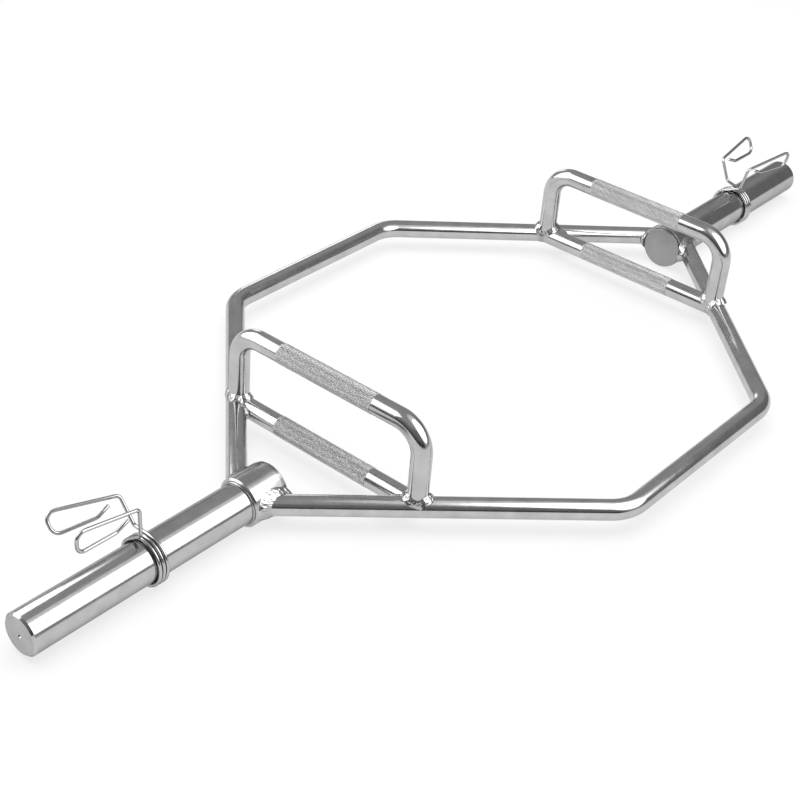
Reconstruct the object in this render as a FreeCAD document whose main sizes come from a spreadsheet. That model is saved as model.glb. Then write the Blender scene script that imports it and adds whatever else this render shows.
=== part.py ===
"""Hex trap bar: a welded chrome bar frame with two plate sleeves and two spring clips.

Millimetres. +X runs along the sleeves, +Y to the rear, +Z up. The origin is at the height of the
lowest point of the hubs, below the middle of the hexagon. Every sub-part is drawn around the
sleeve axis, on the right half of the bar, and its Placement lifts it to its height and, for the
left half and the front, turns it half a turn about Z.
"""
import FreeCAD, Part
import math
import os

import Sketcher

Vector = FreeCAD.Vector
Rotation = FreeCAD.Rotation
Placement = FreeCAD.Placement

doc = FreeCAD.newDocument("hex_trap_bar")

# Driving dimensions
SIZES = {
    # plate sleeves
    "overall_length": 1524,
    "sleeve_diameter": 50,
    "sleeve_wall": 5,
    "sleeve_end_chamfer": 2.5,
    "spigot_step": 1,
    "spigot_clearance": 0.05,
    "plug_length": 18,
    "plug_clearance": 0.05,
    "centre_hole_diameter": 6,
    "centre_hole_depth": 3.5,
    # hubs between frame and sleeves
    "hub_diameter": 60.3,
    "hub_inner_margin": 5,
    "hub_outer_margin": 10,
    "hub_edge_chamfer": 2,
    "hub_disc_thickness": 5,
    "hub_disc_step": 1,
    "sleeve_weld_leg": 2,
    # hexagonal frame, measured on the bar's centreline
    "bar_diameter": 25,
    "frame_width": 631,
    "side_length": 304.8,
    "apex_spacing": 922,
    "corner_bend_radius": 50,
    # grips
    "handle_spacing": 635,
    "handle_rise": 102,
    "post_inset": 5.7,
    "handle_bend_radius": 34,
    "post_foot_height": 5,
    "grip_plain_length": 34.5,
    "knurl_rise": 0.3,
    # welds
    "joint_gap": 0.1,
    "hub_weld_leg": 4,
    "bar_weld_leg": 3,
    # spring clips
    "wire_diameter": 4.2,
    "coil_clearance": 0.85,
    "coil_turn_gap": 0.9,
    "coil_turns": 3,
    "left_clip_station": 596,
    "right_clip_station": 609,
    "left_clip_roll_degrees": 20,
    "right_clip_roll_degrees": 6,
    "arm_leave_degrees": 18,
    "arm_run": 25.5,
    "arm_post": 35,
    "arm_lean_degrees": 18.5,
    "arm_foot_bend_radius": 8,
    "arm_top_bend_radius": 6,
    "grip_length": 81.5,
    "grip_width": 26.5,
    "inner_grip_splay_degrees": 15.5,
    "outer_grip_splay_degrees": -1,
    "grip_flare_degrees": 9.5,
    "grip_end_bend_radius": 10,
    "grip_return": 49.5,
    "grip_tip_run": 17,
    "grip_tip_rise": 7.5,
    "grip_tip_bend_radius": 12,
}

sheet = doc.addObject("Spreadsheet::Sheet", "Sizes")
for row, (alias, size) in enumerate(SIZES.items(), start=1):
    sheet.set(f"A{row}", alias)
    sheet.set(f"B{row}", str(size))
    sheet.setAlias(f"B{row}", alias)
doc.recompute()

# Expressions that several sub-parts share
HALF_LENGTH = "Sizes.overall_length / 2"
SLEEVE_RADIUS = "Sizes.sleeve_diameter / 2"
SLEEVE_BORE = f"({SLEEVE_RADIUS} - Sizes.sleeve_wall)"
SPIGOT_RADIUS = f"({SLEEVE_RADIUS} - Sizes.spigot_step)"
HUB_RADIUS = "Sizes.hub_diameter / 2"
HUB_BORE = f"({SPIGOT_RADIUS} + Sizes.spigot_clearance)"
BAR_RADIUS = "Sizes.bar_diameter / 2"
HALF_WIDTH = "Sizes.frame_width / 2"
CORNER_X = "Sizes.side_length / 2"
APEX_X = "Sizes.apex_spacing / 2"
# A slanted leg runs from a corner of the frame to the apex and lands on the hub's round side
LEG_RUN = f"({APEX_X} - {CORNER_X})"
LEG_LENGTH = f"sqrt({LEG_RUN}^2 + ({HALF_WIDTH})^2)"
LANDING_X = f"({APEX_X} - {HUB_RADIUS} * {LEG_RUN} / ({HALF_WIDTH}))"
LANDING_REACH = f"({BAR_RADIUS} * {LEG_LENGTH} / ({HALF_WIDTH}))"
HUB_INNER_FACE = f"({LANDING_X} - {LANDING_REACH} - Sizes.hub_inner_margin)"
HUB_OUTER_FACE = f"({LANDING_X} + {LANDING_REACH} + Sizes.hub_outer_margin)"
HUB_TUBE_START = f"({HUB_INNER_FACE} + Sizes.hub_disc_thickness)"
SLEEVE_START = f"({HUB_OUTER_FACE} + Sizes.sleeve_weld_leg)"
# Both grips of a side lie in one plane, and the high grip's posts stand on the legs
HANDLE_X = "Sizes.handle_spacing / 2"
LEG_Y_AT_HANDLE = f"({HALF_WIDTH} * ({APEX_X} - {HANDLE_X}) / {LEG_RUN})"
POST_Y = f"({LEG_Y_AT_HANDLE} - Sizes.post_inset)"
KNURL_LENGTH = f"2 * ({POST_Y} - Sizes.handle_bend_radius - Sizes.grip_plain_length)"
KNURL_RADIUS = f"({BAR_RADIUS} + Sizes.knurl_rise)"


def number(expression):
    """The value of an expression in the sheet's sizes."""
    return float(sheet.evalExpression(str(expression)))


AXIS_HEIGHT = number(HUB_RADIUS)
LIFT = Placement(Vector(0, 0, AXIS_HEIGHT), Rotation())
LIFT_AND_TURN = Placement(Vector(0, 0, AXIS_HEIGHT), Rotation(Vector(0, 0, 1), 180))
SIDES = {"right": LIFT, "left": LIFT_AND_TURN}

sub_parts = []


def keep(piece, label, placement):
    """Name a finished sub-part and put it in its place."""
    piece.Label = label
    piece.Placement = placement
    sub_parts.append(piece)
    return piece


# Sketch and feature helpers
def origin_plane(body, role):
    return next(f for f in body.Origin.OriginFeatures if f.Role == role)


def new_sketch(body, role, offset=None):
    """A sketch on one of the body's own origin planes, moved along its normal by an expression."""
    sketch = body.newObject("Sketcher::SketchObject", "Sketch")
    sketch.AttachmentSupport = [(origin_plane(body, role), "")]
    sketch.MapMode = "FlatFace"
    if offset:
        sketch.setExpression("AttachmentOffset.Base.z", offset)
    return sketch


def pin_point(sketch, geometry, corner, across, up):
    """Hold a point of the sketch at two expressions, or on an axis where one is 0."""
    for kind, axis, expression in (("DistanceX", -2, across), ("DistanceY", -1, up)):
        if expression == "0":
            sketch.addConstraint(Sketcher.Constraint("PointOnObject", geometry, corner, axis))
        else:
            held = Sketcher.Constraint(kind, -1, 1, geometry, corner, number(expression))
            sketch.setExpression(f"Constraints[{sketch.addConstraint(held)}]", expression)


def closed_outline(sketch, points):
    """A closed polygon whose corners are pairs of expressions."""
    places = [Vector(number(x), number(y), 0) for x, y in points]
    count = len(places)
    for i in range(count):
        sketch.addGeometry(Part.LineSegment(places[i], places[(i + 1) % count]))
    for i in range(count):
        sketch.addConstraint(Sketcher.Constraint("Coincident", i, 2, (i + 1) % count, 1))
    for i, (x, y) in enumerate(points):
        pin_point(sketch, i, 1, x, y)


def circle(sketch, across, up, radius):
    """A circle whose centre and radius are expressions."""
    centre = Vector(number(across), number(up), 0)
    ring = sketch.addGeometry(Part.Circle(centre, Vector(0, 0, 1), number(radius)))
    pin_point(sketch, ring, 3, across, up)
    held = sketch.addConstraint(Sketcher.Constraint("Radius", ring, number(radius)))
    sketch.setExpression(f"Constraints[{held}]", radius)


def bent_path(sketch, start, corner, end, radius):
    """A level line, a tangent bend and a second line, by the corner where the lines would meet."""
    first, turn, last = (Vector(number(x), number(y), 0) for x, y in (start, corner, end))
    into = (turn - first).normalize()
    away = (last - turn).normalize()
    half_turn = into.getAngle(away) / 2
    bend = number(radius)
    bend_start = turn - into * (bend * math.tan(half_turn))
    bend_end = turn + away * (bend * math.tan(half_turn))
    inward = (away - into).normalize()
    centre = turn + inward * (bend / math.cos(half_turn))
    bend_middle = centre - inward * bend
    sketch.addGeometry(Part.LineSegment(first, bend_start))
    sketch.addGeometry(Part.Arc(bend_start, bend_middle, bend_end))
    sketch.addGeometry(Part.LineSegment(bend_end, last))
    meeting = sketch.addGeometry(Part.Point(turn), True)
    near, far = sorted((1, 2), key=lambda end: (sketch.getPoint(1, end) - bend_start).Length)
    sketch.addConstraint(Sketcher.Constraint("Tangent", 0, 2, 1, near))
    sketch.addConstraint(Sketcher.Constraint("Tangent", 1, far, 2, 1))
    sketch.addConstraint(Sketcher.Constraint("Horizontal", 0))
    pin_point(sketch, 0, 1, *start)
    pin_point(sketch, 2, 2, *end)
    sketch.addConstraint(Sketcher.Constraint("PointOnObject", meeting, 1, 0))
    sketch.addConstraint(Sketcher.Constraint("PointOnObject", meeting, 1, 2))
    held = sketch.addConstraint(Sketcher.Constraint("DistanceX", -1, 1, meeting, 1, turn.x))
    sketch.setExpression(f"Constraints[{held}]", corner[0])
    held = sketch.addConstraint(Sketcher.Constraint("Radius", 1, bend))
    sketch.setExpression(f"Constraints[{held}]", radius)


def turned(points):
    """A body turned about the sleeve axis from a closed outline of (along, radius) corners."""
    body = doc.addObject("PartDesign::Body", "Body")
    sketch = new_sketch(body, "XZ_Plane")
    closed_outline(sketch, points)
    revolution = body.newObject("PartDesign::Revolution", "Revolution")
    revolution.Profile = sketch
    revolution.ReferenceAxis = (sketch, ["H_Axis"])
    revolution.Angle = 360
    return body


def bent_bar(profile_plane, centre, path_plane, path_offset, path):
    """A body with half a bent round bar, drawn from its middle, and its mirror image."""
    body = doc.addObject("PartDesign::Body", "Body")
    profile = new_sketch(body, profile_plane)
    circle(profile, *centre, BAR_RADIUS)
    spine = new_sketch(body, path_plane, path_offset)
    bent_path(spine, *path)
    doc.recompute()
    pipe = body.newObject("PartDesign::AdditivePipe", "Pipe")
    pipe.Profile = profile
    pipe.Spine = (spine, ["Edge1", "Edge2", "Edge3"])
    mirrored = body.newObject("PartDesign::Mirrored", "Mirrored")
    mirrored.Originals = [pipe]
    mirrored.MirrorPlane = (origin_plane(body, profile_plane), [""])
    body.Tip = mirrored
    return body


def crosswise_pad(body, centre, radius, length):
    """A round pad across the bar, as far to the front as to the rear."""
    sketch = new_sketch(body, "XZ_Plane")
    circle(sketch, *centre, radius)
    pad = body.newObject("PartDesign::Pad", "Pad")
    pad.Profile = sketch
    pad.Midplane = True
    pad.setExpression("Length", length)
    body.Tip = pad


def cylinder(radius, height, place):
    """A round tool for booleans."""
    tool = doc.addObject("Part::Cylinder", "Cylinder")
    tool.setExpression("Radius", radius)
    tool.setExpression("Height", height)
    tool.Placement = place
    return tool


def cut(base, tools):
    """The base less all the tools."""
    for tool in tools:
        result = doc.addObject("Part::Cut", "Cut")
        result.Base = base
        result.Tool = tool
        base = result
    return base


def common(first, second):
    result = doc.addObject("Part::Common", "Common")
    result.Base = first
    result.Tool = second
    return result


# Round tools along the axes of the bars that are welded to each other
UP = Vector(0, 0, 1)


def leg_tool(radius, side):
    """Along a slanted leg of the frame, from its corner to the sleeve axis; side is 1 for the rear."""
    corner = Vector(number(CORNER_X), side * number(HALF_WIDTH), 0)
    apex = Vector(number(APEX_X), 0, 0)
    return cylinder(radius, LEG_LENGTH, Placement(corner, Rotation(UP, apex - corner)))


def hub_tool(radius):
    """Along the hub."""
    base = Vector(number(HUB_INNER_FACE), 0, 0)
    length = f"{HUB_OUTER_FACE} - {HUB_INNER_FACE}"
    return cylinder(radius, length, Placement(base, Rotation(UP, Vector(1, 0, 0))))


def low_grip_tool(radius, side):
    """Along half of the low grip, from the middle of the bar to the leg that carries it."""
    base = Vector(number(HANDLE_X), 0, 0)
    return cylinder(radius, LEG_Y_AT_HANDLE, Placement(base, Rotation(UP, Vector(0, side, 0))))


def post_tool(radius, side):
    """Along a post of the high grip, up from the frame's own level."""
    base = Vector(number(HANDLE_X), side * number(POST_Y), 0)
    return cylinder(radius, "Sizes.handle_rise", Placement(base, Rotation()))


# Frame bars: one bar round the rear and one round the front, bent at two corners
def frame_bar(label, placement):
    body = bent_bar(
        "YZ_Plane",
        (HALF_WIDTH, "0"),
        "XY_Plane",
        None,
        (("0", HALF_WIDTH), (CORNER_X, HALF_WIDTH), (APEX_X, "0"), "Sizes.corner_bend_radius"),
    )
    seat = f"{HUB_RADIUS} + Sizes.joint_gap"
    base = Vector(-number(HALF_LENGTH), 0, 0)
    along_hubs = cylinder(seat, "Sizes.overall_length", Placement(base, Rotation(UP, Vector(1, 0, 0))))
    keep(cut(body, [along_hubs]), label, placement)


frame_bar("rear_frame_bar", LIFT)
frame_bar("front_frame_bar", LIFT_AND_TURN)


# Hubs: a thick tube that the frame bars are welded to, closed by a disc towards the lifter
def hub(label, placement):
    rim = f"{HUB_RADIUS} - Sizes.hub_edge_chamfer"
    body = turned(
        [
            (HUB_TUBE_START, HUB_BORE),
            (HUB_OUTER_FACE, HUB_BORE),
            (HUB_OUTER_FACE, rim),
            (f"{HUB_OUTER_FACE} - Sizes.hub_edge_chamfer", HUB_RADIUS),
            (HUB_TUBE_START, HUB_RADIUS),
        ]
    )
    keep(body, label, placement)


def hub_disc(label, placement):
    radius = f"{HUB_RADIUS} - Sizes.hub_disc_step"
    body = turned(
        [
            (HUB_INNER_FACE, "0"),
            (HUB_TUBE_START, "0"),
            (HUB_TUBE_START, radius),
            (HUB_INNER_FACE, radius),
        ]
    )
    keep(body, label, placement)


# Sleeves: a tube with a spigot in the hub, a welded ring at the shoulder and a plug in the end
def sleeve(label, placement):
    body = turned(
        [
            (HUB_TUBE_START, SLEEVE_BORE),
            (HALF_LENGTH, SLEEVE_BORE),
            (HALF_LENGTH, f"{SLEEVE_RADIUS} - Sizes.sleeve_end_chamfer"),
            (f"{HALF_LENGTH} - Sizes.sleeve_end_chamfer", SLEEVE_RADIUS),
            (SLEEVE_START, SLEEVE_RADIUS),
            (SLEEVE_START, SPIGOT_RADIUS),
            (HUB_TUBE_START, SPIGOT_RADIUS),
        ]
    )
    keep(body, label, placement)


def sleeve_weld(label, placement):
    body = turned(
        [
            (HUB_OUTER_FACE, HUB_BORE),
            (SLEEVE_START, HUB_BORE),
            (SLEEVE_START, SLEEVE_RADIUS),
            (HUB_OUTER_FACE, f"{SLEEVE_RADIUS} + Sizes.sleeve_weld_leg"),
        ]
    )
    keep(body, label, placement)


def sleeve_plug(label, placement):
    radius = f"{SLEEVE_BORE} - Sizes.plug_clearance"
    start = f"{HALF_LENGTH} - Sizes.plug_length"
    body = turned(
        [
            (start, "0"),
            (f"{HALF_LENGTH} - Sizes.centre_hole_depth", "0"),
            (HALF_LENGTH, "Sizes.centre_hole_diameter / 2"),
            (HALF_LENGTH, radius),
            (start, radius),
        ]
    )
    keep(body, label, placement)


# High grips: a bar bent to a bridge whose two posts stand on the frame's legs
def high_grip(label, placement):
    top = (HANDLE_X, "Sizes.handle_rise")
    body = bent_bar(
        "XZ_Plane",
        top,
        "YZ_Plane",
        HANDLE_X,
        (
            ("0", "Sizes.handle_rise"),
            (POST_Y, "Sizes.handle_rise"),
            (POST_Y, "Sizes.post_foot_height"),
            "Sizes.handle_bend_radius",
        ),
    )
    crosswise_pad(body, top, KNURL_RADIUS, KNURL_LENGTH)
    seat = f"{BAR_RADIUS} + Sizes.joint_gap"
    tools = [leg_tool(seat, 1), leg_tool(seat, -1), low_grip_tool(seat, 1), low_grip_tool(seat, -1)]
    keep(cut(body, tools), label, placement)


# Low grips: a straight bar between two legs of the frame
def low_grip(label, placement):
    body = doc.addObject("PartDesign::Body", "Body")
    centre = (HANDLE_X, "0")
    crosswise_pad(body, centre, BAR_RADIUS, f"2 * {LEG_Y_AT_HANDLE}")
    crosswise_pad(body, centre, KNURL_RADIUS, KNURL_LENGTH)
    seat = f"{BAR_RADIUS} + Sizes.joint_gap"
    keep(cut(body, [leg_tool(seat, 1), leg_tool(seat, -1)]), label, placement)


# Welds: a collar that fills the corner between two round bars
def collar(first, first_core, second, second_core, others):
    return cut(common(first, second), [first_core, second_core, *others])


def pair(label, pieces, placement):
    """Two separate solids in one sub-part."""
    both = doc.addObject("Part::Compound", "Compound")
    both.Links = pieces
    keep(both, label, placement)


def hub_welds(label, placement):
    leg = f"{BAR_RADIUS} + Sizes.hub_weld_leg"
    tube = f"{HUB_RADIUS} + Sizes.hub_weld_leg"
    pieces = [
        collar(leg_tool(leg, side), leg_tool(BAR_RADIUS, side), hub_tool(tube), hub_tool(HUB_RADIUS), [])
        for side in (1, -1)
    ]
    pair(label, pieces, placement)


def post_welds(label, placement):
    reach = f"{BAR_RADIUS} + Sizes.bar_weld_leg"
    pieces = [
        collar(
            post_tool(reach, side),
            post_tool(BAR_RADIUS, side),
            leg_tool(reach, side),
            leg_tool(BAR_RADIUS, side),
            [low_grip_tool(BAR_RADIUS, side)],
        )
        for side in (1, -1)
    ]
    pair(label, pieces, placement)


def low_grip_welds(label, placement):
    reach = f"{BAR_RADIUS} + Sizes.bar_weld_leg"
    pieces = [
        collar(
            low_grip_tool(reach, side),
            low_grip_tool(BAR_RADIUS, side),
            leg_tool(reach, side),
            leg_tool(BAR_RADIUS, side),
            [post_tool(f"{reach} + Sizes.joint_gap", side)],
        )
        for side in (1, -1)
    ]
    pair(label, pieces, placement)


for side, place in SIDES.items():
    hub(f"{side}_hub", place)
    hub_disc(f"{side}_hub_disc", place)
    hub_welds(f"{side}_hub_welds", place)
    sleeve(f"{side}_sleeve", place)
    sleeve_weld(f"{side}_sleeve_weld", place)
    sleeve_plug(f"{side}_sleeve_plug", place)
    high_grip(f"{side}_high_grip", place)
    post_welds(f"{side}_post_welds", place)
    low_grip(f"{side}_low_grip", place)
    low_grip_welds(f"{side}_low_grip_welds", place)


# Spring clips: one wire wound round the sleeve, with both ends bent up to be squeezed together.
# Each is drawn about X, which points to the sleeve's end, with its two arms either side of +Z.
WIRE = number("Sizes.wire_diameter")
COIL_RADIUS = number(f"{SLEEVE_RADIUS} + Sizes.coil_clearance") + WIRE / 2
PITCH = WIRE + number("Sizes.coil_turn_gap")
LEAVE = math.radians(number("Sizes.arm_leave_degrees"))
COIL_SWEEP = 2 * math.pi * number("Sizes.coil_turns") - 2 * LEAVE
QUARTERS_A_TURN = 4
GAP_SAMPLES = 720


def helix(angle):
    """A point of the wire's centreline and its direction, by the angle from the top of the coil."""
    along = PITCH * (angle - LEAVE - COIL_SWEEP / 2) / (2 * math.pi)
    point = Vector(along, COIL_RADIUS * math.sin(angle), COIL_RADIUS * math.cos(angle))
    direction = Vector(
        PITCH / (2 * math.pi), COIL_RADIUS * math.cos(angle), -COIL_RADIUS * math.sin(angle)
    )
    return point, direction.normalize()


def tangent_arc(start, direction, end):
    """The arc that leaves start in a direction and reaches end."""
    chord = end - start
    across = direction.cross(chord).cross(direction).normalize()
    angle = direction.getAngle(chord)
    radius = chord.Length / (2 * math.sin(angle))
    middle = start + across * radius - (across * math.cos(angle) - direction * math.sin(angle)) * radius
    return Part.Arc(start, middle, end).toShape()


def biarc(first, second):
    """Two arcs that meet smoothly, between two points with given directions."""
    (start, leave), (end, arrive) = first, second
    chord = end - start
    both = leave + arrive
    spare = 2 * (1 - leave.dot(arrive))
    reach = (-chord.dot(both) + math.sqrt(chord.dot(both) ** 2 + spare * chord.dot(chord))) / spare
    meeting = (start + end + (leave - arrive) * reach) / 2
    return [tangent_arc(start, leave, meeting), tangent_arc(end, arrive * -1, meeting)]


def rounded_path(points, radii):
    """Straight runs through points, with an arc of the given radius at each inner one."""
    edges = []
    last = points[0]
    for before, corner, after, radius in zip(points, points[1:], points[2:], radii):
        into = (corner - before).normalize()
        away = (after - corner).normalize()
        half_turn = into.getAngle(away) / 2
        set_back = radius * math.tan(half_turn)
        inward = (away - into).normalize()
        start = corner - into * set_back
        middle = corner + inward * (radius / math.cos(half_turn) - radius)
        end = corner + away * set_back
        edges.append(Part.LineSegment(last, start).toShape())
        edges.append(Part.Arc(start, middle, end).toShape())
        last = end
    edges.append(Part.LineSegment(last, points[-1]).toShape())
    return edges


def wire_solid(edges):
    """A round wire along smooth edges, its volume compared with its section times its length."""
    spine = Part.Wire(Part.__sortEdges__(edges))
    start = edges[0]
    point = start.valueAt(start.FirstParameter)
    direction = start.tangentAt(start.FirstParameter)
    section = Part.Wire(Part.Circle(point, direction, WIRE / 2).toShape())
    shell = Part.BRepOffsetAPI.MakePipeShell(spine)
    shell.add(section)
    shell.build()
    shell.makeSolid()
    solid = shell.shape()
    expected = math.pi * (WIRE / 2) ** 2 * spine.Length
    print(f"wire {spine.Length:.1f} mm long, volume over section times length {solid.Volume / expected:.5f}")
    return solid


def coil_shape():
    """The turns, with one straight diameter of wire at each end."""
    steps = math.ceil(COIL_SWEEP / (2 * math.pi) * QUARTERS_A_TURN)
    marks = [helix(LEAVE + COIL_SWEEP * i / steps) for i in range(steps + 1)]
    (first, first_way), (last, last_way) = marks[0], marks[-1]
    edges = [Part.LineSegment(first - first_way * WIRE, first).toShape()]
    for before, after in zip(marks, marks[1:]):
        edges += biarc(before, after)
    edges.append(Part.LineSegment(last, last + last_way * WIRE).toShape())
    return wire_solid(edges)


def coil_gap():
    """The least gap between neighbouring turns, measured on points of the centreline."""
    points = [helix(LEAVE + COIL_SWEEP * i / GAP_SAMPLES)[0] for i in range(GAP_SAMPLES + 1)]
    half_turn = round(GAP_SAMPLES * math.pi / COIL_SWEEP)
    nearest = min(
        (later - point).Length
        for i, point in enumerate(points)
        for later in points[i + half_turn :]
    )
    return nearest - WIRE


def arm_shape(side):
    """One arm from where it leaves the coil to its free tip; side is 1 at the sleeve's end."""
    leave_angle, splay_name = {
        -1: (LEAVE, "inner_grip_splay_degrees"),
        1: (LEAVE + COIL_SWEEP, "outer_grip_splay_degrees"),
    }[side]
    root, way = helix(leave_angle)
    run_way = way * side
    lean = math.radians(number("Sizes.arm_lean_degrees"))
    splay = math.radians(number(f"Sizes.{splay_name}"))
    flare = math.radians(number("Sizes.grip_flare_degrees"))
    post_way = Vector(0, side * math.sin(lean), math.cos(lean))
    out_way = Vector(math.cos(splay), side * math.sin(splay), 0)
    top_way = out_way * math.cos(flare) + post_way * math.sin(flare)
    foot = root + run_way * number("Sizes.arm_run")
    top = foot + post_way * number("Sizes.arm_post")
    far_top = top + top_way * (number("Sizes.grip_length") / math.cos(flare))
    far_low = far_top - post_way * number("Sizes.grip_width")
    kink = far_low - out_way * number("Sizes.grip_return")
    tip = kink - out_way * number("Sizes.grip_tip_run") + post_way * number("Sizes.grip_tip_rise")
    end_bend = number("Sizes.grip_end_bend_radius")
    radii = [
        number("Sizes.arm_foot_bend_radius"),
        number("Sizes.arm_top_bend_radius"),
        end_bend,
        end_bend,
        number("Sizes.grip_tip_bend_radius"),
    ]
    return wire_solid(rounded_path([root + run_way * WIRE, foot, top, far_top, far_low, kink, tip], radii))


def clip(name, station, roll_degrees, side_place):
    """Coil and two arms of one clip; a roll leans the arms to the bar's rear."""
    rear = 1 if side_place is LIFT else -1
    roll = Rotation(Vector(1, 0, 0), -rear * number(roll_degrees))
    on_sleeve = side_place.multiply(Placement(Vector(number(station), 0, 0), roll))
    shapes = {"coil": coil_shape(), "inner_arm": arm_shape(-1), "outer_arm": arm_shape(1)}
    for piece, shape in shapes.items():
        feature = doc.addObject("Part::Feature", "Wire")
        feature.Shape = shape
        keep(feature, f"{name}_clip_{piece}", on_sleeve)


clip("left", "Sizes.left_clip_station", "Sizes.left_clip_roll_degrees", LIFT_AND_TURN)
clip("right", "Sizes.right_clip_station", "Sizes.right_clip_roll_degrees", LIFT)
print(f"least gap between turns of a coil {coil_gap():.3f} mm")

doc.recompute()

# Nothing is written unless every object is sound
for item in doc.Objects:
    if "Invalid" in item.State or "Error" in item.State:
        raise RuntimeError(f"{item.Label} failed: {item.State}")
for piece in sub_parts:
    if piece.Shape.isNull() or not piece.Shape.isValid() or not piece.Shape.Solids:
        raise RuntimeError(f"{piece.Label} has no sound shape")

os.makedirs("parts", exist_ok=True)
for piece in sub_parts:
    piece.Shape.exportStep(f"parts/{piece.Label}.step")
    print(f"{piece.Label}: {len(piece.Shape.Solids)} solids, {piece.Shape.Volume:.0f} mm3")
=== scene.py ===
import math
import random

import bmesh
import bpy
from mathutils import Matrix, Quaternion, Vector, noise


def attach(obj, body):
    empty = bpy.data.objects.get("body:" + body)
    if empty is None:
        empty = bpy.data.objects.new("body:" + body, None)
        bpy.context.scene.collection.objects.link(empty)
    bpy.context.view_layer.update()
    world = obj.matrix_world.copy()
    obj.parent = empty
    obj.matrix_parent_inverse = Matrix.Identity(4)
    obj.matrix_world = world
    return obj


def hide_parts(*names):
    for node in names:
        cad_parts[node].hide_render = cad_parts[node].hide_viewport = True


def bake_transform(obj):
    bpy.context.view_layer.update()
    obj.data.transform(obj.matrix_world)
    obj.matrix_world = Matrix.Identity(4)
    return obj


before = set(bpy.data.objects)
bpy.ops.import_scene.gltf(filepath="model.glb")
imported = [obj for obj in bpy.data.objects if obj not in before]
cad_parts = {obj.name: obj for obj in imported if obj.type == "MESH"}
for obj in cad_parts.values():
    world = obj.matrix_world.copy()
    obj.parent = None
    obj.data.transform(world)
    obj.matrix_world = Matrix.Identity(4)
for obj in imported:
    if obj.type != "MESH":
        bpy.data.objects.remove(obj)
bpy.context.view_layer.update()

# lengths are in metres, and angles in radians unless the name says degrees
MM = 0.001
TURN = 2 * math.pi
PLACES = {"right": Matrix.Identity(4), "left": Matrix.Rotation(math.pi, 4, "Z")}

# hubs, discs and sleeves, turned round the line of the sleeves
AXIS_HEIGHT = 30.15 * MM
AXIS_POINT = Vector((0, 0, AXIS_HEIGHT))
HUB_RADIUS = 30.15 * MM
HUB_FACE = 409.03 * MM
HUB_END = 458.99 * MM
HUB_CHAMFER = 2 * MM
HUB_ROUND = 0.5 * MM
DISC_THICKNESS = 5 * MM
DISC_STEP = 1 * MM
DISC_ROUND = 0.9 * MM
SLEEVE_RADIUS = 25 * MM
SLEEVE_END = 762 * MM
SLEEVE_CHAMFER = 2.5 * MM
SLEEVE_WALL = 5 * MM
SLEEVE_ROUND = 0.3 * MM
PLUG_LENGTH = 18 * MM
PLUG_GAP = 0.05 * MM
PLUG_ROUND = 0.12 * MM
CENTRE_HOLE_RADIUS = 3 * MM
CENTRE_HOLE_DEPTH = 3.5 * MM
CENTRE_HOLE_TIP = 0.3 * MM
TURNED_CORE = 4 * MM
ROUND_STEP = math.radians(15)
ROUND_MARGIN = 0.25

# weld ring between a hub's face and its sleeve
RING_RADIUS = 1.9 * MM
RING_SINK = 1 * MM
RING_START_DEGREES = 105
RING_SWEEP_DEGREES = 120
RING_STEPS = 12

# frame bars and grips
BAR_RADIUS = 12.5 * MM
APEX_X = 461 * MM
CORNER_X = 152.4 * MM
CORNER_Y = 315.5 * MM
CORNER_BEND = 50 * MM
BAR_END_Y = 14 * MM
GRIP_X = 317.5 * MM
POST_Y = 141 * MM
POST_FOOT = 5 * MM
GRIP_RISE = 102 * MM
GRIP_BEND = 34 * MM
LEG_Y_AT_GRIP = (APEX_X - GRIP_X) * CORNER_Y / (APEX_X - CORNER_X)

# knurl: radii, lattice, share of a diamond that is flat on top, and how unevenly the starts are cut
KNURL_HALF = 72.5 * MM
KNURL_CREST = 12.85 * MM
KNURL_ROOT = 12.38 * MM
KNURL_CORE = 11.8 * MM
KNURL_INSET = 0.6 * MM
KNURL_STARTS = 46
KNURL_ROWS = 50
KNURL_LAND = 0.3
KNURL_UNEVEN = 0.09 * MM
KNURL_SEED = 7
LOWEST_CREST = 0.6

# weld beads: leg sizes, then their seams, ripples and lumps
HUB_BEAD = 8.6 * MM
POST_BEAD = 6.4 * MM
GRIP_BEAD = 5 * MM
SEAM_COUNT = 180
SEAM_LEAN = 0.06
BEAD_STEPS = 18
BEAD_SINK = 0.25 * MM
BEAD_CROWN = 0.06
BEAD_ROOT = 0.6
BEAD_SPREAD = 0.14
RIPPLE_PITCH = 3.6 * MM
RIPPLE_HEIGHT = 0.35 * MM
RIPPLE_MIDDLE = 0.6
RIPPLE_BOW = 0.8
RIPPLE_WANDER = 1.1
LUMP_SIZE = 3.4 * MM
LUMP_HEIGHT = 0.5 * MM
FINE_LUMP_SHARE = 0.5
FINE_LUMP_RATE = 2.3
SPREAD_SIZE = 1.7 * LUMP_SIZE
WANDER_SIZE = 2.4 * LUMP_SIZE
WELD_SEEDS = {"left": 11, "right": 47}
WELD_SEED_STEP = 5
SEED_SHIFTS = (1, 0.37, 1.73)

# spring clips
WIRE_RADIUS = 2.1 * MM
WIRE_END_ROUND = 0.6 * WIRE_RADIUS
WIRE_END_STEPS = 4
COIL_RADIUS = 27.95 * MM
COIL_PITCH = 5.1 * MM
COIL_LEAD = 2 * WIRE_RADIUS
COIL_STEPS = 96
LEAVE = math.radians(18)
SWEEP = 3 * TURN - 2 * LEAVE
STATIONS = {"left": 596 * MM, "right": 609 * MM}
ROLLS = {"left": math.radians(20), "right": math.radians(-6)}
ARM_RUN = 25.5 * MM
ARM_POST = 35 * MM
ARM_LEAN = math.radians(18.5)
ARM_BENDS = [8 * MM, 6 * MM, 10 * MM, 10 * MM, 12 * MM]
ARM_SPLAYS = {"inner": math.radians(15.5), "outer": math.radians(-1)}
ARM_SIGNS = {"inner": -1, "outer": 1}
CLIP_GRIP = 81.5 * MM
CLIP_GRIP_WIDTH = 26.5 * MM
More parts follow.
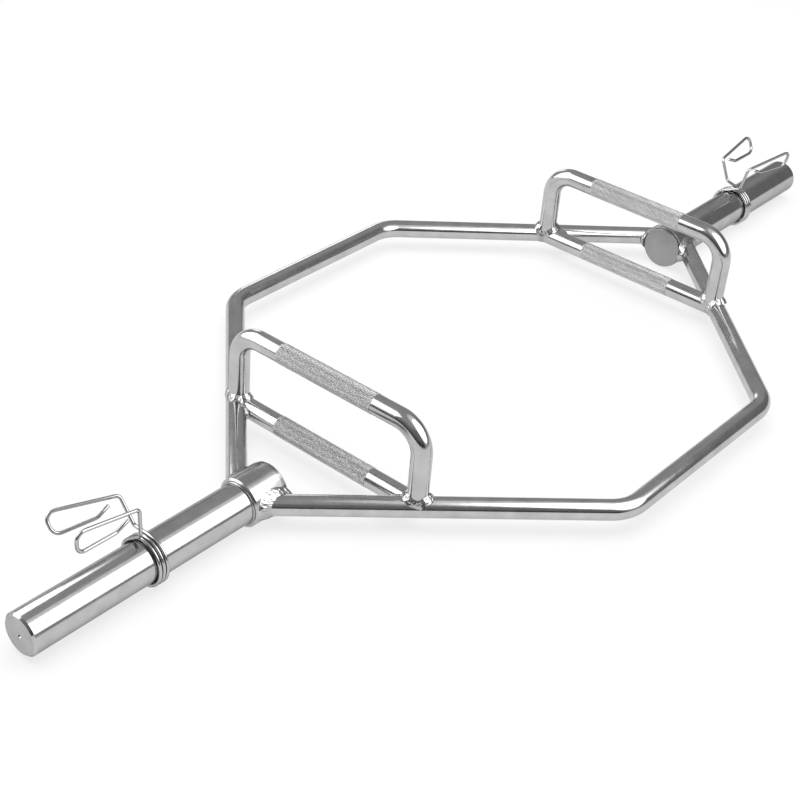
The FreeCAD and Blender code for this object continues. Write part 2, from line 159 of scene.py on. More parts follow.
GRIP_FLARE = math.radians(9.5)
GRIP_RETURN = 49.5 * MM
TIP_RUN = 17 * MM
TIP_RISE = 7.5 * MM

# fineness of the meshes, and the angles from which an edge is sharp
BAR_SIDES = 72
TURNED_SIDES = 128
WIRE_SIDES = 24
BAR_BEND_STEP = math.radians(3)
WIRE_BEND_STEP = math.radians(7)
SHARP = math.radians(38)
KNURL_SHARP = math.radians(5)
BEAD_SHARP = math.radians(70)


def new_piece(name, points, faces, sharp=SHARP):
    """Object with the given faces, smooth except at edges sharper than the given angle."""
    mesh = bpy.data.meshes.new(name)
    mesh.from_pydata(points, [], faces)
    shape = bmesh.new()
    shape.from_mesh(mesh)
    bmesh.ops.recalc_face_normals(shape, faces=shape.faces)
    for face in shape.faces:
        face.smooth = True
    for edge in shape.edges:
        edge.smooth = edge.calc_face_angle(0) < sharp
    shape.to_mesh(mesh)
    shape.free()
    piece = bpy.data.objects.new(name, mesh)
    bpy.context.scene.collection.objects.link(piece)
    return piece


def finish_piece(piece, body, slot, *nodes, finish=None):
    """Ties a piece to its body, its finish and the nodes that it stands for."""
    piece.data.materials.append(finishes[finish or slot])
    if body:
        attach(piece, body)
    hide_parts(*nodes)
    return piece


def skin(rings, looped=False):
    """Points and faces of the surface through equal rings, with flat ends unless looped."""
    count = len(rings[0])
    points = [point for ring in rings for point in ring]
    faces = []
    spans = len(rings) if looped else len(rings) - 1
    for span in range(spans):
        here = span * count
        there = (span + 1) % len(rings) * count
        for k in range(count):
            after = (k + 1) % count
            faces.append((here + k, here + after, there + after, there + k))
    if not looped:
        faces.append(tuple(range(count)))
        faces.append(tuple(range(len(points) - count, len(points))))
    return points, faces


def moved(rings, place):
    """Rings carried to another place."""
    return [[place @ point for point in ring] for ring in rings]


def rounded(points, bends, step, margin=0):
    """Points of a line whose corners are arcs; margin adds a point close to each end of an arc."""
    line = [points[0]]
    for before, corner, after, bend in zip(points, points[1:], points[2:], bends):
        back = (before - corner).normalized()
        ahead = (after - corner).normalized()
        turn = math.pi - back.angle(ahead)
        reach = bend * math.tan(turn / 2)
        centre = corner + (back + ahead).normalized() * bend / math.cos(turn / 2)
        spoke = corner + back * reach - centre
        axis = ahead.cross(back).normalized()
        steps = max(2, math.ceil(turn / step))
        if margin:
            line.append(corner + back * (reach + margin))
        for k in range(steps + 1):
            line.append(centre + Quaternion(axis, turn * k / steps) @ spoke)
        if margin:
            line.append(corner + ahead * (reach + margin))
    return line + [points[-1]]


def ways_along(path):
    """Direction of a line at each of its points."""
    ways = [(b - a).normalized() for a, b in zip(path, path[1:])]
    joined = [(a + b).normalized() for a, b in zip(ways, ways[1:])]
    return [ways[0]] + joined + [ways[-1]]


def tube_rings(path, radii, sides):
    """Rings of a round tube along a path, one radius for each point."""
    ways = ways_along(path)
    side = ways[0].orthogonal().normalized()
    rings = []
    for k, (point, way, radius) in enumerate(zip(path, ways, radii)):
        if k:
            side = ways[k - 1].rotation_difference(way) @ side
        across = way.cross(side)
        ring = []
        for j in range(sides):
            turn = TURN * j / sides
            ring.append(point + (side * math.cos(turn) + across * math.sin(turn)) * radius)
        rings.append(ring)
    return rings


def turned(name, outline, place):
    """Piece turned round the sleeves' line from points of distance along it and radius."""
    rings = []
    for along, radius, _ in outline:
        ring = []
        for k in range(TURNED_SIDES):
            turn = TURN * k / TURNED_SIDES
            spoke = Vector((along, radius * math.cos(turn), radius * math.sin(turn)))
            ring.append(place @ (AXIS_POINT + spoke))
        rings.append(ring)
    return new_piece(name, *skin(rings))


def profile(ease, *corners):
    """Turned outline through corners of distance, radius and, where it has its own, rounding."""
    points = [Vector((corner[0], corner[1], 0)) for corner in corners]
    eases = [corner[2] if len(corner) > 2 else ease for corner in corners[1:-1]]
    return rounded(points, eases, ROUND_STEP, margin=ease * ROUND_MARGIN)


def weld_ring_profile():
    """Outline of the smooth bead between a hub's face and its sleeve."""
    middle = Vector((HUB_END, SLEEVE_RADIUS, 0))
    points = [middle - Vector((RING_SINK, RING_SINK, 0))]
    for k in range(RING_STEPS + 1):
        turn = math.radians(RING_START_DEGREES - RING_SWEEP_DEGREES * k / RING_STEPS)
        points.append(middle + RING_RADIUS * Vector((math.cos(turn), math.sin(turn), 0)))
    return points + [middle - Vector((-RING_SINK, RING_SINK, 0))]


def hub_and_sleeve(side, place):
    """Disc, hub, weld ring, sleeve and end plug of one side."""
    disc_edge = HUB_RADIUS - DISC_STEP
    disc_back = HUB_FACE + DISC_THICKNESS
    hub_shoulder = HUB_END - HUB_CHAMFER
    bore = SLEEVE_RADIUS - SLEEVE_WALL
    plug_back = SLEEVE_END - PLUG_LENGTH
    disc = profile(
        DISC_ROUND,
        (HUB_FACE, TURNED_CORE),
        (HUB_FACE, disc_edge),
        (disc_back, disc_edge),
    )
    hub = profile(
        HUB_ROUND,
        (disc_back, TURNED_CORE),
        (disc_back, HUB_RADIUS),
        (hub_shoulder, HUB_RADIUS),
        (HUB_END, HUB_RADIUS - HUB_CHAMFER),
        (HUB_END, TURNED_CORE),
    )
    sleeve = profile(
        SLEEVE_ROUND,
        (hub_shoulder, TURNED_CORE),
        (hub_shoulder, SLEEVE_RADIUS),
        (SLEEVE_END - SLEEVE_CHAMFER, SLEEVE_RADIUS),
        (SLEEVE_END, SLEEVE_RADIUS - SLEEVE_CHAMFER),
        (SLEEVE_END, bore, PLUG_GAP),
        (plug_back, bore),
        (plug_back, TURNED_CORE),
    )
    plug = profile(
        PLUG_ROUND,
        (plug_back + PLUG_GAP, TURNED_CORE),
        (plug_back + PLUG_GAP, bore - PLUG_GAP),
        (SLEEVE_END, bore - PLUG_GAP, PLUG_GAP),
        (SLEEVE_END, CENTRE_HOLE_RADIUS),
        (SLEEVE_END - CENTRE_HOLE_DEPTH, CENTRE_HOLE_TIP),
    )
    rows = (
        ("hub_disc_cap", disc, "hub_disc", "hub_chrome", "disc_chrome_painted_shade"),
        ("hub_tube", hub, "hub", "hub_chrome", "hub_chrome"),
        ("sleeve_weld_ring", weld_ring_profile(), "sleeve_weld", "weld_beads", "weld_ring"),
        ("sleeve_tube", sleeve, "sleeve", "sleeve_chrome", "sleeve_chrome"),
        ("sleeve_end_plug", plug, "sleeve_plug", "sleeve_chrome", "sleeve_chrome"),
    )
    for name, outline, node, slot, finish in rows:
        piece = turned(f"{side}_{name}", outline, place)
        finish_piece(piece, "bar", slot, f"{side}_{node}", finish=finish)


def frame_bar(name, node, sign):
    """Half of the hexagonal frame, bent at two corners, on the rear (+1) or front (-1) side."""
    apex = Vector((APEX_X, 0, AXIS_HEIGHT))
    corner = Vector((CORNER_X, sign * CORNER_Y, AXIS_HEIGHT))
    end = apex.lerp(corner, BAR_END_Y / CORNER_Y)
    flip = Vector((-1, 1, 1))
    points = [end * flip, corner * flip, corner, end]
    path = rounded(points, [CORNER_BEND] * 2, BAR_BEND_STEP)
    rings = tube_rings(path, [BAR_RADIUS] * len(path), BAR_SIDES)
    finish_piece(new_piece(name, *skin(rings)), "bar", "bar_chrome", node)


def knurl_points():
    """Lattice of a diamond knurl round +Y: groove crossings, lands and the lands' heights, by place."""
    dice = random.Random(KNURL_SEED)
    cuts = [dice.random() for _ in range(KNURL_STARTS)]
    heights = {}
    crossings = {}
    lands = {}
    around = 2 * KNURL_STARTS
    along = 2 * KNURL_ROWS
    steps = ((KNURL_LAND, 0), (0, KNURL_LAND), (-KNURL_LAND, 0), (0, -KNURL_LAND))

    def at(k, row, radius):
        turn = TURN * k / around
        y = KNURL_HALF * (2 * row / along - 1)
        return Vector((radius * math.cos(turn), y, radius * math.sin(turn)))

    for row in range(along + 1):
        for k in range(around):
            if (k + row) % 2:
                crossings[k, row] = at(k, row, KNURL_ROOT)
            elif 0 < row < along:
                height = cuts[(k + row) // 2 % KNURL_STARTS]
                radius = KNURL_CREST - KNURL_UNEVEN * (1 - height)
                lands[k, row] = [at(k + a, row + b, radius) for a, b in steps]
                heights[k, row] = height
    return crossings, lands, heights


def knurl(name, centre):
    """Band of raised diamonds between two crossing sets of grooves."""
    crossings, lands, heights = knurl_points()
    around = 2 * KNURL_STARTS
    along = 2 * KNURL_ROWS
    points = []
    index = {}
    for key, point in crossings.items():
        index[key] = len(points)
        points.append(centre + point)
    faces = []
    for (k, row), land in lands.items():
        first = len(points)
        points.extend(centre + point for point in land)
        tops = [first, first + 1, first + 2, first + 3]
        ring = [
            index[(k + 1) % around, row],
            index[k, row + 1],
            index[(k - 1) % around, row],
            index[k, row - 1],
        ]
        faces.append(tuple(tops))
        for j in range(4):
            after = (j + 1) % 4
            faces.append((tops[j], ring[j], ring[after], tops[after]))
    for row, inner in ((0, 1), (along, along - 1)):
        rim = [k for k in range(around) if (k + row) % 2]
        for k in rim:
            after = (k + 2) % around
            faces.append((index[k, row], index[after, row], index[(k + 1) % around, inner]))
        faces.append(tuple(index[k, row] for k in rim))
    piece = new_piece(name, points, faces, sharp=KNURL_SHARP)
    crest = piece.data.attributes.new("crest", "FLOAT", "POINT")
    levels = [0.0] * len(crossings)
    for key in lands:
        levels.extend([LOWEST_CREST + (1 - LOWEST_CREST) * heights[key]] * 4)
    crest.data.foreach_set("value", levels)
    return piece


def with_knurl_seat(path):
    """Path of a grip and its radii, drawn in under the knurl band."""
    seat = (
        (-KNURL_HALF, BAR_RADIUS),
        (-KNURL_HALF + KNURL_INSET, KNURL_CORE),
        (KNURL_HALF - KNURL_INSET, KNURL_CORE),
        (KNURL_HALF, BAR_RADIUS),
    )
    line = []
    radii = []
    for a, b in zip(path, path[1:]):
        line.append(a)
        radii.append(BAR_RADIUS)
        if a.y < -KNURL_HALF < KNURL_HALF < b.y:
            for y, radius in seat:
                line.append(Vector((a.x, y, a.z)))
                radii.append(radius)
    line.append(path[-1])
    radii.append(BAR_RADIUS)
    return line, radii


def grips(side, place):
    """High grip, a bridge on two posts, and straight low grip of one side, each with its knurl."""
    foot = AXIS_HEIGHT + POST_FOOT
    top = AXIS_HEIGHT + GRIP_RISE
    bridge = [
        Vector((GRIP_X, -POST_Y, foot)),
        Vector((GRIP_X, -POST_Y, top)),
        Vector((GRIP_X, POST_Y, top)),
        Vector((GRIP_X, POST_Y, foot)),
    ]
    bar = [
        Vector((GRIP_X, -LEG_Y_AT_GRIP, AXIS_HEIGHT)),
        Vector((GRIP_X, LEG_Y_AT_GRIP, AXIS_HEIGHT)),
    ]
    for level, points, height in (("high", bridge, top), ("low", bar, AXIS_HEIGHT)):
        path = rounded(points, [GRIP_BEND] * 2, BAR_BEND_STEP)
        rings = moved(tube_rings(*with_knurl_seat(path), BAR_SIDES), place)
        node = f"{side}_{level}_grip"
        piece = new_piece(f"{node}_bar", *skin(rings))
        finish_piece(piece, "bar", "bar_chrome", node)
        centre = place @ Vector((GRIP_X, 0, height))
        piece = knurl(f"{node}_knurl", centre)
        finish_piece(piece, "bar", "knurled_grips", node)


def exit_from(tube, start, way):
    """How far a line runs before it leaves a tube, or None where it misses the tube."""
    point, axis, radius = tube
    offset = start - point
    offset -= axis * offset.dot(axis)
    slope = way - axis * way.dot(axis)
    a = slope.length_squared
    b = offset.dot(slope)
    inside = b * b - a * (offset.length_squared - radius * radius)
    if inside < 0:
        return None
    return (math.sqrt(inside) - b) / a


def on_tube(tube, point, sink):
    """Point moved onto a tube, and the way out of the tube there."""
    middle, axis, radius = tube
    offset = point - middle
    along = axis * offset.dot(axis)
    out = (offset - along).normalized()
    return middle + along + out * (radius - sink), out


def seam(origin, way, tubes, least):
    """Points where a bar from origin along way leaves the tubes that carry it."""
    side = way.orthogonal().normalized()
    across = way.cross(side)
    rows = []
    for k in range(SEAM_COUNT):
        turn = TURN * k / SEAM_COUNT
        spoke = side * math.cos(turn) + across * math.sin(turn)
        start = origin + spoke * BAR_RADIUS
        reaches = [(exit_from(tube, start, way), tube) for tube in tubes]
        met = [pair for pair in reaches if pair[0] is not None]
        reach, tube = max(met, key=lambda pair: pair[0])
        point = start + way * max(reach, least)
        out = on_tube(tube, point, 0)[1]
        run = spoke - out * spoke.dot(out) - way * SEAM_LEAN
        run = (run - out * run.dot(out)).normalized()
        rows.append((point, spoke, out, run, tube))
    return rows


def bead(rows, way, leg, seed):
    """Rings of a lumpy weld bead along a seam, each closed through the metal behind it."""
    shift = Vector([seed * step for step in SEED_SHIFTS])
    length = sum((a[0] - b[0]).length for a, b in zip(rows, rows[1:] + rows[:1]))
    ripples = round(length / RIPPLE_PITCH)
    rings = []
    run_length = 0
    for k, (point, spoke, out, run, tube) in enumerate(rows):
        if k:
            run_length += (point - rows[k - 1][0]).length
        wander = noise.noise(point / WANDER_SIZE - shift)
        beat = ripples * run_length / length + RIPPLE_WANDER * wander
        spread = 1 + BEAD_SPREAD * noise.noise(point / SPREAD_SIZE + shift)
        top = point + way * leg * spread - spoke * BEAD_SINK
        low = on_tube(tube, point + run * leg * spread, BEAD_SINK)[0]
        crown = (spoke + out).normalized()
        ring = []
        for j in range(BEAD_STEPS + 1):
            share = j / BEAD_STEPS
            swell = math.sin(math.pi * share)
            base = top.lerp(low, share)
            ripple = abs(math.sin(math.pi * (beat - RIPPLE_BOW * swell)))
            lump = noise.noise(base / LUMP_SIZE + shift)
            lump += FINE_LUMP_SHARE * noise.noise(base * FINE_LUMP_RATE / LUMP_SIZE - shift)
            lift = leg * BEAD_CROWN + RIPPLE_HEIGHT * (ripple - RIPPLE_MIDDLE) + LUMP_HEIGHT * lump
            ring.append(base + crown * lift * swell)
        ring.append(point - crown * leg * BEAD_ROOT)
        rings.append(ring)
    return rings


def beads(name, node, joints, leg):
    """One piece of all the beads of a kind on one side of the bar."""
    points = []
    faces = []
    for seed, (origin, way, tubes, least) in joints:
        rings = bead(seam(origin, way, tubes, least), way, leg, seed)
        more_points, more_faces = skin(rings, looped=True)
        start = len(points)
        points.extend(more_points)
        faces.extend(tuple(start + k for k in face) for face in more_faces)
    piece = new_piece(name, points, faces, sharp=BEAD_SHARP)
    finish_piece(piece, "bar", "weld_beads", node)


def welds(side, place):
    """Beads of one side: frame bars to hub, posts to frame, and low grip to frame."""
    spin = place.to_3x3()
    hub_tube = (AXIS_POINT, Vector((1, 0, 0)), HUB_RADIUS)
    apex = Vector((APEX_X, 0, AXIS_HEIGHT))
    up = Vector((0, 0, 1))
    seed = WELD_SEEDS[side]
    hub_joints = []
    post_joints = []
    grip_joints = []
    for sign in (1, -1):
        leg_way = (Vector((CORNER_X, sign * CORNER_Y, AXIS_HEIGHT)) - apex).normalized()
        leg_tube = (place @ apex, spin @ leg_way, BAR_RADIUS)
        low_end = Vector((GRIP_X, sign * LEG_Y_AT_GRIP, AXIS_HEIGHT))
        low_way = Vector((0, -sign, 0))
        low_tube = (place @ low_end, spin @ low_way, BAR_RADIUS)
        foot = Vector((GRIP_X, sign * POST_Y, AXIS_HEIGHT))
        seed += WELD_SEED_STEP
        hub_joints.append((seed, (place @ apex, spin @ leg_way, [hub_tube], 0)))
        post_joints.append((seed + 1, (place @ foot, up, [leg_tube, low_tube], POST_FOOT)))
        grip_joints.append((seed + 2, (place @ low_end, spin @ low_way, [leg_tube], 0)))
    beads(f"{side}_hub_weld_beads", f"{side}_hub_welds", hub_joints, HUB_BEAD)
    beads(f"{side}_post_weld_beads", f"{side}_post_welds", post_joints, POST_BEAD)
    beads(f"{side}_low_grip_weld_beads", f"{side}_low_grip_welds", grip_joints, GRIP_BEAD)


def helix(angle):
    """Point and direction of the coil's wire, about the coil's middle."""
    along = COIL_PITCH * (angle - LEAVE - SWEEP / 2) / TURN
    point = Vector((along, COIL_RADIUS * math.sin(angle), COIL_RADIUS * math.cos(angle)))
    way = Vector((COIL_PITCH / TURN, COIL_RADIUS * math.cos(angle), -COIL_RADIUS * math.sin(angle)))
    return point, way.normalized()


def coil_half(arm):
    """Line of half the coil, from its middle to the straight end that the arm goes on from."""
    sign = ARM_SIGNS[arm]
    points = []
    for k in range(COIL_STEPS + 1):
        angle = LEAVE + SWEEP / 2 * (1 + sign * k / COIL_STEPS)
        point, way = helix(angle)
        points.append(point)
    points.append(point + way * sign * COIL_LEAD)
    return points


def arm_path(arm):
    """Line of a clip's arm, from the coil's straight end to the grip's tip."""
    sign = ARM_SIGNS[arm]
    splay = ARM_SPLAYS[arm]
    root, way = helix(LEAVE if sign < 0 else LEAVE + SWEEP)
    run_way = way * sign
    post_way = Vector((0, sign * math.sin(ARM_LEAN), math.cos(ARM_LEAN)))
    out_way = Vector((math.cos(splay), sign * math.sin(splay), 0))
    top_way = out_way * math.cos(GRIP_FLARE) + post_way * math.sin(GRIP_FLARE)
    foot = root + run_way * ARM_RUN
    top = foot + post_way * ARM_POST
    far_top = top + top_way * CLIP_GRIP / math.cos(GRIP_FLARE)
    far_low = far_top - post_way * CLIP_GRIP_WIDTH
    kink = far_low - out_way * GRIP_RETURN
    tip = kink - out_way * TIP_RUN + post_way * TIP_RISE
    points = [root + run_way * COIL_LEAD, foot, top, far_top, far_low, kink, tip]
    return rounded(points, ARM_BENDS, WIRE_BEND_STEP)


def eased_end(path, radii):
    """Path and radii of a wire with its last end rounded over."""
    way = (path[-1] - path[-2]).normalized()
    full = radii[-1]
    tip = path[-1]
    path = path[:-1]
    radii = radii[:-1]
    for k in range(WIRE_END_STEPS + 1):
        turn = math.pi / 2 * k / WIRE_END_STEPS
        path.append(tip - way * WIRE_END_ROUND * (1 - math.sin(turn)))
        radii.append(full - WIRE_END_ROUND * (1 - math.cos(turn)))
    return path, radii


def wire(name, path, place, body, node, eased):
    """Piece of spring wire along a path."""
    radii = [WIRE_RADIUS] * len(path)
    if eased:
        path, radii = eased_end(path, radii)
    rings = moved(tube_rings(path, radii, WIRE_SIDES), place)
    return finish_piece(new_piece(name, *skin(rings)), body, "spring_wire", node)


def clip(side, place):
    """Spring clip of one side: two arms, and two halves of a coil."""
    station = Matrix.Translation((STATIONS[side], 0, 0))
    lift = Matrix.Translation(AXIS_POINT)
    place = lift @ place @ station @ Matrix.Rotation(ROLLS[side], 4, "X")
    for arm, sign in ARM_SIGNS.items():
        body = f"{side}_{arm}_arm"
        name = f"{side}_clip_{arm}_grip_wire"
        wire(name, arm_path(arm), place, body, f"{side}_clip_{arm}_arm", True)
        name = f"{side}_clip_{arm}_turns"
        piece = wire(name, coil_half(arm), place, None, f"{side}_clip_coil", False)
        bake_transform(piece)


# plated finishes: greys of the clouds, roughness where smooth and where worn, scale of the polish
# marks and depth of the ripple, with the grazing brightness and the marks' own depth where they differ
EVEN = (1, 1, 1)
ALONG_SLEEVE = (0.03, 1, 1)
CHROMES = {
    "bar_chrome": dict(
        dark=0.455, light=0.55, smooth=0.11, worn=0.19, scale=420, ripple=0.02 * MM, edge=0.85
    ),
    "hub_chrome": dict(
        dark=0.42, light=0.49, smooth=0.15, worn=0.26, scale=420, ripple=0.02 * MM, edge=0.7
    ),
    # discs: a duller, rougher plate, and darker greys that are painted shade for the shadowed floor
    # they reflect
    "disc_chrome_painted_shade": dict(
        dark=0.29, light=0.34, smooth=0.17, worn=0.25, scale=300, ripple=0.003 * MM
    ),
    "sleeve_chrome": dict(
        dark=0.46, light=0.54, smooth=0.1, worn=0.2, scale=700, ripple=0.02 * MM,
        stretch=ALONG_SLEEVE, grain=0.8,
    ),
    "weld_beads": dict(
        dark=0.36, light=0.6, smooth=0.16, worn=0.3, scale=400, ripple=0.09 * MM
    ),
    "weld_ring": dict(
        dark=0.3, light=0.38, smooth=0.1, worn=0.2, scale=400, ripple=0.03 * MM
    ),
    "spring_wire": dict(
        dark=0.46, light=0.52, smooth=0.05, worn=0.1, scale=300, ripple=0.005 * MM, edge=0.1
    ),
}
CLOUD_SCALE = 45
CLOUD_DETAIL = 7
MARKS_DETAIL = 5
WAVES_SCALE = 60
WAVES_DETAIL = 2
NOISE_LOW = 0.3
NOISE_HIGH = 0.7

# knurl's finish, from its grooves, darkened with painted shade, to its worn crests
GROOVE_SHADE_GREY = 0.42
CREST_GREY = 0.98
GROOVE_ROUGHNESS = 0.45
CREST_ROUGHNESS = 0.34
CREST_WEIGHT = 0.6
LEAST_WEAR = 0.02
MOST_WEAR = 0.22
WEAR_SCALE = 900
WEAR_DETAIL = 2
WEAR_DEPTH = 0.01 * MM
KNURL_EDGE = 0.1


def nodes_of(material):
    """Empty node tree of a material or world."""
    material.use_nodes = True
    tree = material.node_tree
    tree.nodes.clear()
    return tree


def add(tree, kind, **values):
    """New node with the given settings."""
    node = tree.nodes.new(kind)
    for key, value in values.items():
        setattr(node, key, value)
    return node


def grey(level):
    """Neutral colour."""
    return (level, level, level, 1)


def noise_texture(tree, stretch, scale, detail):
    """Noise in metres of the part's own frame, stretched along its axes."""
    where = add(tree, "ShaderNodeTexCoord")
    mapping = add(tree, "ShaderNodeMapping")
    mapping.inputs["Scale"].default_value = stretch
    texture = add(tree, "ShaderNodeTexNoise")
    texture.inputs["Scale"].default_value = scale
    texture.inputs["Detail"].default_value = detail
    tree.links.new(where.outputs["Object"], mapping.inputs["Vector"])
    tree.links.new(mapping.outputs["Vector"], texture.inputs["Vector"])
    return texture.outputs["Fac"]


def ramp(tree, source, low, high, start=NOISE_LOW, end=NOISE_HIGH):
    """Value that goes from low to high as the source goes from start to end."""
    node = add(tree, "ShaderNodeMapRange")
    node.inputs["From Min"].default_value = start
    node.inputs["From Max"].default_value = end
    node.inputs["To Min"].default_value = low
    node.inputs["To Max"].default_value = high
    tree.links.new(source, node.inputs["Value"])
    return node.outputs["Result"]


def tint(tree, source, dark, light):
    """Grey that goes from dark to light as the source goes through the range of the noise."""
    node = add(tree, "ShaderNodeValToRGB")
    low, high = node.color_ramp.elements
    low.position = NOISE_LOW
    high.position = NOISE_HIGH
    low.color = grey(dark)
    high.color = grey(light)
    tree.links.new(source, node.inputs["Fac"])
    return node.outputs["Color"]


def bump(tree, height, distance, under=None):
    """Normal of a surface that the height raises by the distance, over another normal if given."""
    node = add(tree, "ShaderNodeBump")
    node.inputs["Strength"].default_value = 1.0
    node.inputs["Distance"].default_value = distance
    tree.links.new(height, node.inputs["Height"])
    if under is not None:
        tree.links.new(under, node.inputs["Normal"])
    return node.outputs["Normal"]


def plated(name, edge):
    """Metal whose brightness at a grazing angle is edge: material, its nodes and its shader."""
    material = bpy.data.materials.new(name)
    tree = nodes_of(material)
    shader = add(tree, "ShaderNodeBsdfPrincipled")
    shader.inputs["Metallic"].default_value = 1.0
    shader.inputs["Specular Tint"].default_value = grey(edge)
    output = add(tree, "ShaderNodeOutputMaterial")
    tree.links.new(shader.outputs["BSDF"], output.inputs["Surface"])
    return material, tree, shader


def chrome(name, dark, light, smooth, worn, scale, ripple, stretch=EVEN, edge=0.5, grain=0.25):
    """Plated steel: cloudy reflectance, polish marks along the stretch and a faint ripple."""
    material, tree, shader = plated(name, edge)
    cloud = noise_texture(tree, EVEN, CLOUD_SCALE, CLOUD_DETAIL)
    marks = noise_texture(tree, stretch, scale, MARKS_DETAIL)
    waves = noise_texture(tree, EVEN, WAVES_SCALE, WAVES_DETAIL)
    tree.links.new(tint(tree, cloud, dark, light), shader.inputs["Base Color"])
    tree.links.new(ramp(tree, marks, smooth, worn), shader.inputs["Roughness"])
    normal = bump(tree, marks, ripple * grain, under=bump(tree, waves, ripple))
    tree.links.new(normal, shader.inputs["Normal"])
    return material


def knurled(name):
    """Plated knurl: bright worn crests, and dull grooves darkened with painted shade."""
    material, tree, shader = plated(name, KNURL_EDGE)
    crest = add(tree, "ShaderNodeAttribute", attribute_name="crest").outputs["Fac"]
    wear = noise_texture(tree, EVEN, WEAR_SCALE, WEAR_DETAIL)
    height = add(tree, "ShaderNodeMath", operation="MULTIPLY_ADD")
    height.inputs[1].default_value = CREST_WEIGHT
    tree.links.new(crest, height.inputs[0])
    tree.links.new(ramp(tree, wear, LEAST_WEAR, MOST_WEAR), height.inputs[2])
    # the grooves' dark grey is painted shade in the knurl's recesses; the crests' light grey is their
    # wear
    colour = tint(tree, height.outputs[0], GROOVE_SHADE_GREY, CREST_GREY)
    roughness = ramp(tree, crest, GROOVE_ROUGHNESS, CREST_ROUGHNESS, start=0.0, end=1.0)
    tree.links.new(colour, shader.inputs["Base Color"])
    tree.links.new(roughness, shader.inputs["Roughness"])
    tree.links.new(bump(tree, wear, WEAR_DEPTH), shader.inputs["Normal"])
    return material


finishes = {name: chrome(name, **values) for name, values in CHROMES.items()}
finishes["knurled_grips"] = knurled("knurled_grips")

for side, place in PLACES.items():
    hub_and_sleeve(side, place)
    grips(side, place)
    welds(side, place)
    clip(side, place)
frame_bar("rear_frame_bent_bar", "rear_frame_bar", 1)
frame_bar("front_frame_bent_bar", "front_frame_bar", -1)

# floor: half its side, its grey, and how much of it is plain white background
FLOOR_HALF = 40
FLOOR_GREY = 0.88
FLOOR_WHITE = 0.75

# room: its grey at the horizon and overhead, and the same for its dark side between two heights
ROOM_GREYS = (0.38, 0.43)
DARK_GREYS = (0.02, 0.2)
DARK_HEIGHTS = (0.12, 0.32)

# round patches of the room: azimuth, elevation, reach and blur in degrees
DARK_PATCHES = ((172, 2, 34, 12), (-134, 6, 38, 10))
GREY_PATCH = (-28, 14, 31, 12)
GREY_PATCH_LEVEL = 0.22

# lamp panels: azimuth and elevation in degrees, distance, width, height, radiance and shape
REFLECTED_LAMPS = {
    "front_softbox": (-84, 44.5, 1.06, 1.22, 1.22, 2.0, "ELLIPSE"),
    "front_softbox_edge": (-80, 58, 1.09, 1.4, 1.4, 0.42, "ELLIPSE"),
    "left_softbox": (122, 32, 4.0, 3.8, 4.0, 1.9, "RECTANGLE"),
    "rear_card": (116.6, 31.5, 0.92, 0.3, 0.6, 1.9, "RECTANGLE"),
    "rear_softbox": (51, 13, 4.2, 0.9, 1.2, 1.8, "RECTANGLE"),
}
CEILING_LAMP = (0, 90, 4.0, 5.0, 5.0, 2.1, "RECTANGLE")
WATTS_PER_RADIANCE = 4

# camera at the photograph's place, angle and framing: its turn as an axis times an angle
CAMERA_TURN = Vector((2.03652, -0.88035, 0.54017))
CAMERA_PLACE = Vector((-1.44523, -0.97657, 1.1138))
SENSOR_WIDTH = 36
FOCAL_LENGTH = 71.03
CAMERA_SHIFT = (0.0451, 0.0034)


def floor():
    """Plain white floor that the camera, metal and glass see alike, with the bar's shadow."""
    signs = ((-1, -1), (1, -1), (1, 1), (-1, 1))
    corners = [Vector((x * FLOOR_HALF, y * FLOOR_HALF, 0)) for x, y in signs]
    piece = new_piece("floor", corners, [(0, 1, 2, 3)])
    material = bpy.data.materials.new("floor")
    tree = nodes_of(material)
    shade = add(tree, "ShaderNodeBsdfDiffuse")
    shade.inputs["Color"].default_value = grey(FLOOR_GREY)
    glow = add(tree, "ShaderNodeEmission")
    path = add(tree, "ShaderNodeLightPath")
    seen = add(tree, "ShaderNodeMath", operation="MAXIMUM")
    clear = add(tree, "ShaderNodeMath", operation="MAXIMUM")
    tree.links.new(path.outputs["Is Camera Ray"], seen.inputs[0])
    tree.links.new(path.outputs["Is Glossy Ray"], seen.inputs[1])
    tree.links.new(seen.outputs[0], clear.inputs[0])
    tree.links.new(path.outputs["Is Transmission Ray"], clear.inputs[1])
    share = add(tree, "ShaderNodeMath", operation="MULTIPLY")
    share.inputs[1].default_value = FLOOR_WHITE
    tree.links.new(clear.outputs[0], share.inputs[0])
    mix = add(tree, "ShaderNodeMixShader")
    tree.links.new(share.outputs[0], mix.inputs["Fac"])
    tree.links.new(shade.outputs["BSDF"], mix.inputs[1])
    tree.links.new(glow.outputs["Emission"], mix.inputs[2])
    output = add(tree, "ShaderNodeOutputMaterial")
    tree.links.new(mix.outputs["Shader"], output.inputs["Surface"])
    piece.data.materials.append(material)


def toward(azimuth, elevation):
    """Direction from its compass angle, counted from +X to +Y, and its height above the floor."""
    az = math.radians(azimuth)
    el = math.radians(elevation)
    return Vector((math.cos(el) * math.cos(az), math.cos(el) * math.sin(az), math.sin(el)))


def softbox(name, azimuth, elevation, distance, width, height, radiance, shape):
    """Lamp panel that faces the bar's middle and shows in reflections only."""
    lamp = bpy.data.lights.new(name, "AREA")
    lamp.shape = shape
    lamp.size = width
    lamp.size_y = height
    area = width * height * (1 if shape == "RECTANGLE" else math.pi / 4)
    lamp.energy = WATTS_PER_RADIANCE * radiance * area
    box = bpy.data.objects.new(name, lamp)
    bpy.context.scene.collection.objects.link(box)
    way = toward(azimuth, elevation)
    box.location = way * distance
    box.rotation_mode = "QUATERNION"
    box.rotation_quaternion = (-way).to_track_quat("-Z", "Y")
    box.visible_camera = False
    box.visible_diffuse = False
    return box


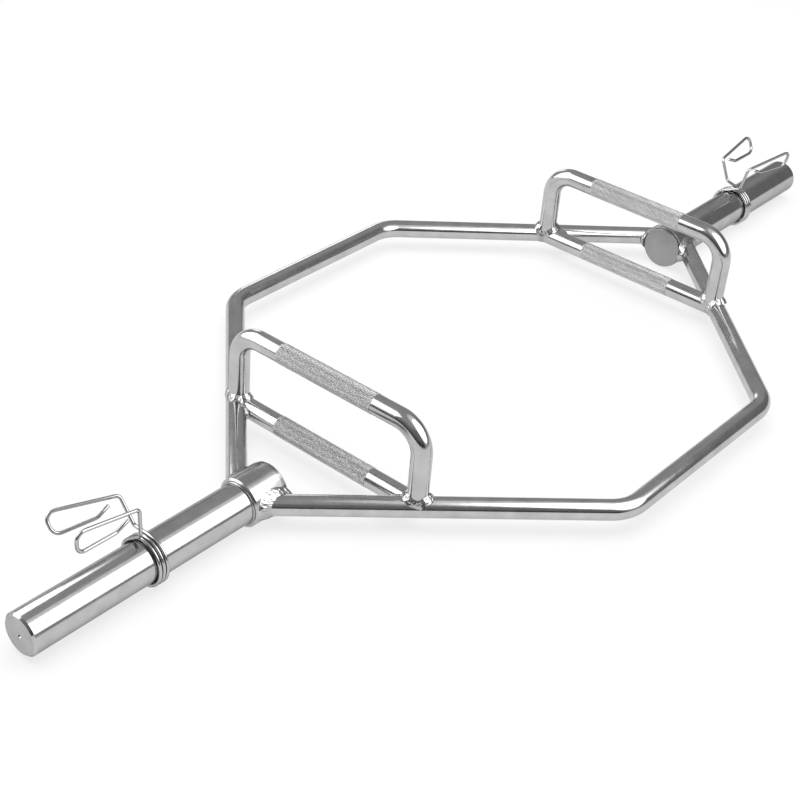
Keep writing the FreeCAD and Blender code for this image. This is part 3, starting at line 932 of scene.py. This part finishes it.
def room_patch(tree, level, way, azimuth, elevation, reach, blur, value):
    """Room brightness with a round patch of another value, a number or an output, in one direction."""
    dot = add(tree, "ShaderNodeVectorMath", operation="DOT_PRODUCT")
    dot.inputs[1].default_value = toward(azimuth, elevation)
    tree.links.new(way, dot.inputs[0])
    mask = add(tree, "ShaderNodeMapRange", interpolation_type="SMOOTHSTEP")
    mask.inputs["From Min"].default_value = math.cos(math.radians(reach + blur))
    mask.inputs["From Max"].default_value = math.cos(math.radians(reach - blur))
    tree.links.new(dot.outputs["Value"], mask.inputs["Value"])
    mix = add(tree, "ShaderNodeMix")
    if isinstance(value, float):
        mix.inputs["B"].default_value = value
    else:
        tree.links.new(value, mix.inputs["B"])
    tree.links.new(mask.outputs["Result"], mix.inputs["Factor"])
    tree.links.new(level, mix.inputs["A"])
    return mix.outputs["Result"]


def studio():
    """Grey room that is darker behind the camera and to the left, with white softboxes."""
    world = bpy.data.worlds.new("studio")
    bpy.context.scene.world = world
    tree = nodes_of(world)
    way = add(tree, "ShaderNodeTexCoord").outputs["Generated"]
    parts = add(tree, "ShaderNodeSeparateXYZ")
    tree.links.new(way, parts.inputs["Vector"])
    level = ramp(tree, parts.outputs["Z"], *ROOM_GREYS, start=0.0, end=1.0)
    dark = ramp(tree, parts.outputs["Z"], *DARK_GREYS, *DARK_HEIGHTS)
    for patch in DARK_PATCHES:
        level = room_patch(tree, level, way, *patch, dark)
    level = room_patch(tree, level, way, *GREY_PATCH, GREY_PATCH_LEVEL)
    background = add(tree, "ShaderNodeBackground")
    tree.links.new(level, background.inputs["Color"])
    output = add(tree, "ShaderNodeOutputWorld")
    tree.links.new(background.outputs["Background"], output.inputs["Surface"])
    for name, values in REFLECTED_LAMPS.items():
        softbox(name, *values)
    ceiling = softbox("ceiling", *CEILING_LAMP)
    ceiling.visible_diffuse = True
    ceiling.visible_glossy = False


def camera():
    """Camera that sees the bar as the photograph does."""
    turn = Quaternion(CAMERA_TURN.normalized(), CAMERA_TURN.length)
    right, down, ahead = turn.to_matrix()
    lens = bpy.data.cameras.new("camera")
    lens.sensor_width = SENSOR_WIDTH
    lens.lens = FOCAL_LENGTH
    lens.shift_x, lens.shift_y = CAMERA_SHIFT
    eye = bpy.data.objects.new("camera", lens)
    bpy.context.scene.collection.objects.link(eye)
    eye.matrix_world = Matrix((right, -down, -ahead)).transposed().to_4x4()
    eye.location = CAMERA_PLACE
    bpy.context.scene.camera = eye


floor()
studio()
camera()
bpy.context.scene.view_settings.view_transform = "Standard"
